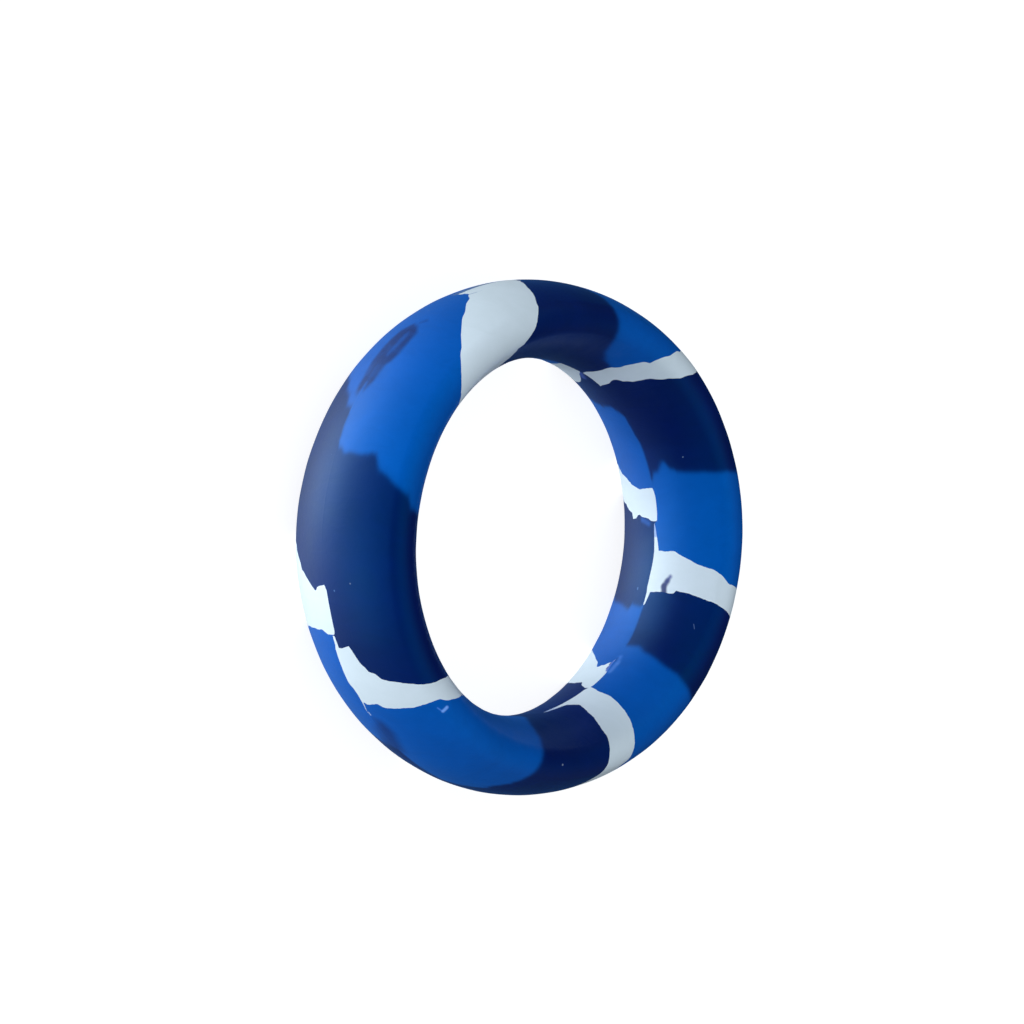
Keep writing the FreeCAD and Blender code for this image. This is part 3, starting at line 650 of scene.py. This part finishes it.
def silicone(name, colour, index):
    """Satin marbled silicone, with its grain, cloudiness, soft bleeding between the two blues, and its own marks."""
    m = bpy.data.materials.new(name)
    n = Nodes(m)
    coord = n.new("ShaderNodeTexCoord").outputs["Object"]
    cloud = n.noise(coord, 55.0, 3.0, .55, .6)
    streak_map = n.new("ShaderNodeMapping")
    n.link(coord, streak_map.inputs["Vector"])
    streak_map.inputs["Scale"].default_value = (1.0, 1.0, .35)
    streak = n.noise(streak_map.outputs[0], 310.0, 4.0, .6, 1.2)
    grain = n.noise(coord, 2300.0, 3.0, .65)
    base = {"white": WHITE, "blue": BLUE, "navy": NAVY}[colour]
    spread = {"white": (.955, 1.03), "blue": (.88, 1.10), "navy": (.80, 1.22)}[colour]
    dark, light = tuple(c * spread[0] for c in base), tuple(c * spread[1] for c in base)
    if colour == "white":
        dark = (dark[0] * .985, dark[1], dark[2] * .985)
    share = n.math("ADD", n.math("MULTIPLY", cloud, .62), n.math("MULTIPLY", streak, .38))
    colour_out = n.mix(n.span(share, .32, .68), dark, light)
    colour_out = n.mix(n.span(grain, .3, .7, 0.0, .05 if colour == "white" else .10), colour_out,
                       tuple(c * (.9 if colour == "white" else 1.35) for c in base))
    if colour in ("blue", "navy"):
        other = NAVY if colour == "blue" else BLUE
        bleed = n.attribute("bleed")
        rough_edge = n.math("ADD", bleed, n.math("MULTIPLY", n.math("SUBTRACT", streak, .5), n.math("MULTIPLY", bleed, .6)), clamp=True)
        colour_out = n.mix(rough_edge, colour_out, other)
        colour_out = n.mix(n.math("MULTIPLY", n.attribute("smear"), n.span(streak, .25, .6, .72, 1.0)), colour_out,
                           SMEAR if colour == "blue" else NAVY)
        colour_out = n.mix(n.attribute("film"), colour_out, PALE)
    else:
        colour_out = n.mix(n.attribute("film"), colour_out, (.10, .24, .66))
    for mark in MARKS.get(name, ()):
        a, b, radius, soft, paint, strength = mark
        mask = n.capsule(coord, a, b, radius, soft)
        mask = n.math("MULTIPLY", mask, n.span(streak, .3, .55, strength * .75, strength))
        colour_out = n.mix(mask, colour_out, paint)
    # sparse dust and pin-head flecks from the mould
    cells = n.new("ShaderNodeTexVoronoi", feature="F1", distance="EUCLIDEAN")
    n.link(coord, cells.inputs["Vector"])
    cells.inputs["Scale"].default_value = 260.0
    pick = n.new("ShaderNodeSeparateColor")
    n.link(cells.outputs["Color"], pick.inputs[0])
    fleck = n.math("MULTIPLY", n.span(cells.outputs["Distance"], .035, .07, 1.0, 0.0, smooth=True),
                   n.math("GREATER_THAN", pick.outputs[0], .955))
    colour_out = n.mix(n.math("MULTIPLY", fleck, .30 if colour != "white" else .30), colour_out,
                       (.62, .70, .80) if colour != "white" else (.25, .33, .45))
    shader = n.new("ShaderNodeBsdfPrincipled")
    n.link(colour_out, shader.inputs["Base Color"])
    n.link(n.span(n.math("ADD", n.math("MULTIPLY", cloud, .5), n.math("MULTIPLY", grain, .5)), .3, .7, .36, .46), shader.inputs["Roughness"])
    shader.inputs["IOR"].default_value = 1.41 if colour == "white" else 1.50
    shader.inputs["Specular IOR Level"].default_value = .5
    if colour != "white":
        shader.inputs["Specular Tint"].default_value = (*GLOSS_TINT, 1.0)
        shader.inputs["Sheen Weight"].default_value = .13
        shader.inputs["Sheen Roughness"].default_value = .45
        shader.inputs["Sheen Tint"].default_value = (.03, .36, 1.0, 1.0)
    bump = n.new("ShaderNodeBump")
    bump.inputs["Strength"].default_value = .35
    bump.inputs["Distance"].default_value = .00004
    n.link(grain, bump.inputs["Height"])
    soft_bump = n.new("ShaderNodeBump")
    soft_bump.inputs["Strength"].default_value = .25
    soft_bump.inputs["Distance"].default_value = .00016
    n.link(streak, soft_bump.inputs["Height"])
    n.link(bump.outputs[0], soft_bump.inputs["Normal"])
    n.link(soft_bump.outputs[0], shader.inputs["Normal"])
    out = n.new("ShaderNodeOutputMaterial")
    n.link(shader.outputs[0], out.inputs["Surface"])
    return m


MARKS = {}


def mark(node, a, b, radius, soft, paint, strength=1.0):
    """A small mark on a slug, mostly stray colour and one grey strip of painted shade: from a to b, each (phi, t),
    radius and softness in mm.
    """
    half = 1 if node.startswith("upper") else -1
    MARKS.setdefault(node, []).append((on_skin(*a, half), on_skin(*b, half), radius / 1000, soft / 1000, paint, strength))


mark("upper_blue_4", (221.3, .4245), (222.7, .434), .10, .34, (.10, .28, .85), .7)
mark("upper_blue_4", (222.8, .438), (222.6, .463), .29, .46, (.22, .42, .96), .95)
mark("upper_white_5", (347.0, .868), (345.1, .885), .40, .80, (.05, .065, .27), .95)
mark("upper_white_5", (345.4, .882), (343.6, .896), .60, .85, (.016, .03, .17), 1.0)
mark("upper_white_5", (343.6, .896), (341.7, .886), .64, .70, (.010, .025, .14), 1.0)
mark("upper_white_2", (113.6, .072), (111.3, .089), .10, .30, (.05, .12, .36), .85)
mark("upper_white_2", (111.3, .089), (109.8, .094), .05, .36, (.20, .28, .48), .5)
# painted shade: a grey strip along the lower blue's outer parting line, standing in for a white edge lying in shade
mark("lower_blue_3", (98.0, .035), (106.0, .035), 1.5, .8, (.15, .18, .24), .85)
mark("lower_blue_3", (106.0, .030), (112.5, .020), 1.1, 1.2, (.12, .16, .25), .8)
mark("lower_navy_2", (69.2, .985), (65.2, .955), .55, 1.0, (.075, .11, .42), .95)
mark("lower_white_5", (314.5, .999), (309.9, .999), .62, .45, (.035, .12, .50), .95)
mark("lower_white_5", (312.9, .985), (312.1, .985), .15, .24, (.02, .03, .16), .9)
mark("lower_white_5", (310.9, .985), (310.2, .983), .15, .24, (.02, .03, .16), .9)
mark("upper_blue_5", (315.4, .990), (313.9, .992), .14, .36, (.01, .02, .14), .75)
mark("upper_blue_5", (315.9, .980), (313.2, .965), .45, 1.0, (.06, .18, .56), .6)
mark("upper_blue_5", (313.2, .967), (309.2, .976), .50, 1.0, (.08, .21, .60), .65)
mark("lower_navy_1", (5.2, .88), (4.2, .94), .45, 1.3, (.02, .09, .40), .8)
# pin-head specks of stray colour and dust
mark("upper_navy_3", (190.4, .076), (190.5, .077), .11, .22, (.14, .28, .56), .6)
mark("lower_navy_4", (168.3, .190), (168.1, .192), .12, .14, (.34, .46, .66), .7)
mark("lower_navy_1", (341.7, .910), (342.1, .908), .16, .30, (.16, .28, .56), .55)
mark("upper_navy_1", (26.6, .752), (26.7, .750), .12, .14, (.30, .42, .62), .6)
mark("upper_blue_4", (219.6, .010), (220.3, .012), .14, .16, (.60, .68, .84), .7)
mark("upper_navy_5", (333.6, .655), (332.3, .642), .07, .16, (.16, .24, .46), .6)


# ------------------------------------------------------------------------------------------------ build the slugs
def colour_over(lines, row, theta):
    """The colour index (0 blue, 1 navy, 2 white) that a half shows at each angle on that row."""
    edges = lines[:15, row]
    x = (theta - edges[0]) % 360
    rel = (edges - edges[0]) % 360
    rel[0] = 0
    order = np.searchsorted(np.append(rel, 360.0), x, side="right") - 1
    return np.clip(order, 0, 14) % 3


UP_LINES, UP_PIECES = build_half(1, UPPER_SEAMS, FILMS_UPPER, 100, wedge=3)
LO_LINES, LO_PIECES = build_half(-1, LOWER_SEAMS, FILMS_LOWER, 300)


def line_at(lines, i, t):
    return np.interp(t, ROWS, lines[i])


def seam_gap(lines, i, theta, t, rho):
    """Distance in mm from points to a seam, measured square to it."""
    here = line_at(lines, i, t)
    e = .6 / ARC
    slope = (line_at(lines, i, np.clip(t + e, 0, 1)) - line_at(lines, i, np.clip(t - e, 0, 1))) / (2 * .6)
    slope = np.radians(slope) * rho
    return abs(np.radians(theta - here)) * rho / np.sqrt(1 + slope ** 2)


built = {}
for half, word, lines, pieces, other in ((1, "upper", UP_LINES, UP_PIECES, LO_LINES), (-1, "lower", LO_LINES, LO_PIECES, UP_LINES)):
    for i, piece in enumerate(pieces):
        colour = COLOURS[i % 3]
        name = f"{word}_{colour}_{i // 3 + 1}"
        labels, theta, t, skin, co = points_of(piece, half)
        index = {lab: q for q, lab in enumerate(labels)}
        faces = [[index[x] for x in f] for f in piece["faces"]]
        if half < 0:
            faces = [f[::-1] for f in faces]
        mesh = bpy.data.meshes.new(name + "_skin")
        mesh.from_pydata([tuple(p) for p in co], [], faces)
        kinds = np.array([k == "skin" for k in piece["kinds"]])
        mesh.polygons.foreach_set("use_smooth", kinds)
        # exact normals on the skin, so that neighbouring slugs shade as one surface
        nv = normals(theta, t, half)
        flat = np.array([tuple(p.normal) for p in mesh.polygons])
        loops = np.zeros((len(mesh.loops), 3))
        vert = np.zeros(len(mesh.loops), int)
        mesh.loops.foreach_get("vertex_index", vert)
        start = np.zeros(len(mesh.polygons), int)
        total = np.zeros(len(mesh.polygons), int)
        mesh.polygons.foreach_get("loop_start", start)
        mesh.polygons.foreach_get("loop_total", total)
        owner = np.repeat(np.arange(len(start)), total)
        on_skin_face = kinds[owner]
        loops[:] = np.where(on_skin_face[:, None], nv[vert], flat[owner])
        mesh.normals_split_custom_set([tuple(v) for v in loops])
        # shares that the material reads
        rho = np.hypot(co[:, 0], co[:, 1]) * 1000
        bleed, film = np.zeros(len(co)), np.zeros(len(co))
        if colour != "white":
            for seam, neighbour in ((i, (i - 1) % 3), (i + 1, (i + 1) % 3)):
                theta_here = theta
                gap = seam_gap(lines, seam, theta_here, t, rho)
                blues = neighbour != 2
                if half > 0 and seam == 4 and i == 4:
                    share = np.where(t < WEDGE_END - .004, .5 * np.exp(-(gap / .36) ** 1.3), 0)
                elif blues:
                    share = .5 * np.exp(-(gap / .36) ** 1.3)
                else:
                    share = 0 * gap
                bleed = np.maximum(bleed, share)
            for row, gap in ((0, t * ARC), (NR - 1, (1 - t) * ARC)):
                across = colour_over(other, row, theta)
                want = 1 if colour == "blue" else 0
                bleed = np.maximum(bleed, np.where(across == want, .5 * np.exp(-(gap / .22) ** 1.3), 0))
        if name == "upper_white_5":                        # the thin tail along the inner parting line lets the blue through
            phi = (theta - 90) % 360
            d_in = (1 - t) * ARC
            film = np.clip((phi - 355.6) / 2.5, 0, 1) * np.clip((1.2 - d_in) / .3, 0, 1) * .62 * (phi < 20) + \
                   np.where(phi < 20, .62, 0) * (d_in < 1.2)
        if name == "upper_white_4":
            phi = (theta - 90) % 360
            film = np.clip((286.5 - phi) / 5, 0, 1) * .45 * ((1 - t) * ARC < 1.3)
        for key, values in (("bleed", bleed), ("film", film), ("smear", smear_share(theta, t, half))):
            attribute = mesh.attributes.new(key, "FLOAT", "POINT")
            attribute.data.foreach_set("value", np.where(skin, values, 0).astype(np.float32))
        ob = bpy.data.objects.new(name + "_slug", mesh)
        bpy.context.scene.collection.objects.link(ob)
        mesh.materials.append(silicone(name, colour, i))
        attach(ob, "root")
        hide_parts(name)
        built[name] = ob


# ------------------------------------------------------------------------------------------------ floor, light, camera
def add_floor():
    mesh = bpy.data.meshes.new("floor")
    r = 6.0
    low = -.00012                                         # just under the skin's own unevenness
    mesh.from_pydata([(-r, -r, low), (r, -r, low), (r, r, low), (-r, r, low)], [], [(0, 1, 2, 3)])
    ob = bpy.data.objects.new("floor", mesh)
    bpy.context.scene.collection.objects.link(ob)
    m = bpy.data.materials.new("pale_floor")
    n = Nodes(m)
    path = n.new("ShaderNodeLightPath")
    paper = n.new("ShaderNodeBsdfDiffuse")
    paper.inputs["Color"].default_value = (FLOOR_ALBEDO,) * 3 + (1,)
    glow = n.new("ShaderNodeEmission")
    glow.inputs["Color"].default_value = (1, 1, 1, 1)
    n.link(n.math("MULTIPLY", path.outputs["Is Camera Ray"], FLOOR_TO_CAMERA), glow.inputs["Strength"])
    both = n.new("ShaderNodeAddShader")
    n.link(paper.outputs[0], both.inputs[0])
    n.link(glow.outputs[0], both.inputs[1])
    out = n.new("ShaderNodeOutputMaterial")
    n.link(both.outputs[0], out.inputs["Surface"])
    mesh.materials.append(m)
    return ob


FLOOR_ALBEDO, FLOOR_TO_CAMERA = .30, .88

# Soft light from all round: broad lobes of a light tent, each a direction, a sharpness and a colour.
LOBES = [
    ((0.256, 0.000, 0.967), 6, (0.908, 1.042, 1.134)),
    ((-0.703, -0.124, 0.700), 6, (1.103, 1.267, 1.376)),
    ((0.653, -0.415, 0.633), 6, (0.369, 0.423, 0.463)),
    ((0.847, 0.309, 0.433), 6, (0.214, 0.245, 0.268)),
    ((-0.128, -0.991, -0.033), 6, (0.901, 1.036, 1.127)),
    ((0.689, -0.686, -0.233), 6, (0.151, 0.174, 0.192)),
    ((0.181, -0.804, -0.567), 6, (0.210, 0.242, 0.264)),
    ((-0.680, -0.217, -0.700), 6, (0.034, 0.040, 0.041)),
    ((-0.148, -0.410, -0.900), 6, (0.972, 1.119, 1.216)),
    ((0.227, 0.119, -0.967), 6, (0.074, 0.086, 0.094)),
    ((-0.614, -0.563, -0.553), 18, (1.888, 2.171, 2.359)),
    ((-0.250, -0.589, -0.769), 18, (3.418, 3.931, 4.272)),
    ((-0.587, -0.796, -0.149), 18, (0.692, 0.796, 0.865)),
    ((-0.030, -0.622, -0.782), 18, (0.503, 0.579, 0.630)),
    ((0.301, -0.932, -0.201), 18, (2.254, 2.593, 2.819)),
]


def studio(lobes):
    world = bpy.data.worlds.new("studio")
    world.use_nodes = True
    tree = Nodes.__new__(Nodes)
    tree.tree = world.node_tree
    tree.tree.nodes.clear()
    way = tree.vec("NORMALIZE", tree.new("ShaderNodeTexCoord").outputs["Generated"]).outputs[0]
    total = None
    for direction, sharp, colour in lobes:
        near = tree.vec("DOT_PRODUCT", way, direction).outputs["Value"]
        share = tree.math("EXPONENT", tree.math("MULTIPLY", tree.math("SUBTRACT", near, 1.0), sharp))
        part = tree.new("ShaderNodeVectorMath", operation="SCALE")
        part.inputs[0].default_value = colour
        tree.link(share, part.inputs["Scale"])
        total = part.outputs[0] if total is None else tree.vec("ADD", total, part.outputs[0]).outputs[0]
    back = tree.new("ShaderNodeBackground")
    tree.link(total, back.inputs["Color"])
    paper = tree.new("ShaderNodeBackground")              # beyond the floor's edge the backdrop is as pale as the floor
    paper.inputs["Strength"].default_value = 1.05
    seen = tree.new("ShaderNodeMixShader")
    tree.link(tree.new("ShaderNodeLightPath").outputs["Is Camera Ray"], seen.inputs[0])
    tree.link(back.outputs[0], seen.inputs[1])
    tree.link(paper.outputs[0], seen.inputs[2])
    out = tree.new("ShaderNodeOutputWorld")
    tree.link(seen.outputs[0], out.inputs["Surface"])
    return world


scene = bpy.context.scene
scene.world = studio(LOBES)
floor = add_floor()
floor.visible_diffuse = False
floor.visible_glossy = False
floor.visible_shadow = False

cam_data = bpy.data.cameras.new("view")
cam_data.lens, cam_data.sensor_width, cam_data.sensor_fit = 80.3977, 36.0, "AUTO"
cam_data.clip_start, cam_data.clip_end = .01, 50
camera = bpy.data.objects.new("view", cam_data)
scene.collection.objects.link(camera)
RIGHT = Vector((-0.03092187, 0.75066054, 0.65996408)).normalized()
UP = Vector((-0.998904162, 0.0, -0.0468025223)).normalized()
BACK = RIGHT.cross(UP).normalized()
UP = BACK.cross(RIGHT)
turn = Matrix((RIGHT, UP, BACK)).transposed().to_4x4()
camera.matrix_world = Matrix.Translation(Vector((-20.49942925, -296.38186271, 346.59246120)) / 1000) @ turn
scene.camera = camera
scene.view_settings.view_transform = "Standard"
scene.view_settings.look = "None"
scene.view_settings.exposure = 0
scene.view_settings.gamma = 1
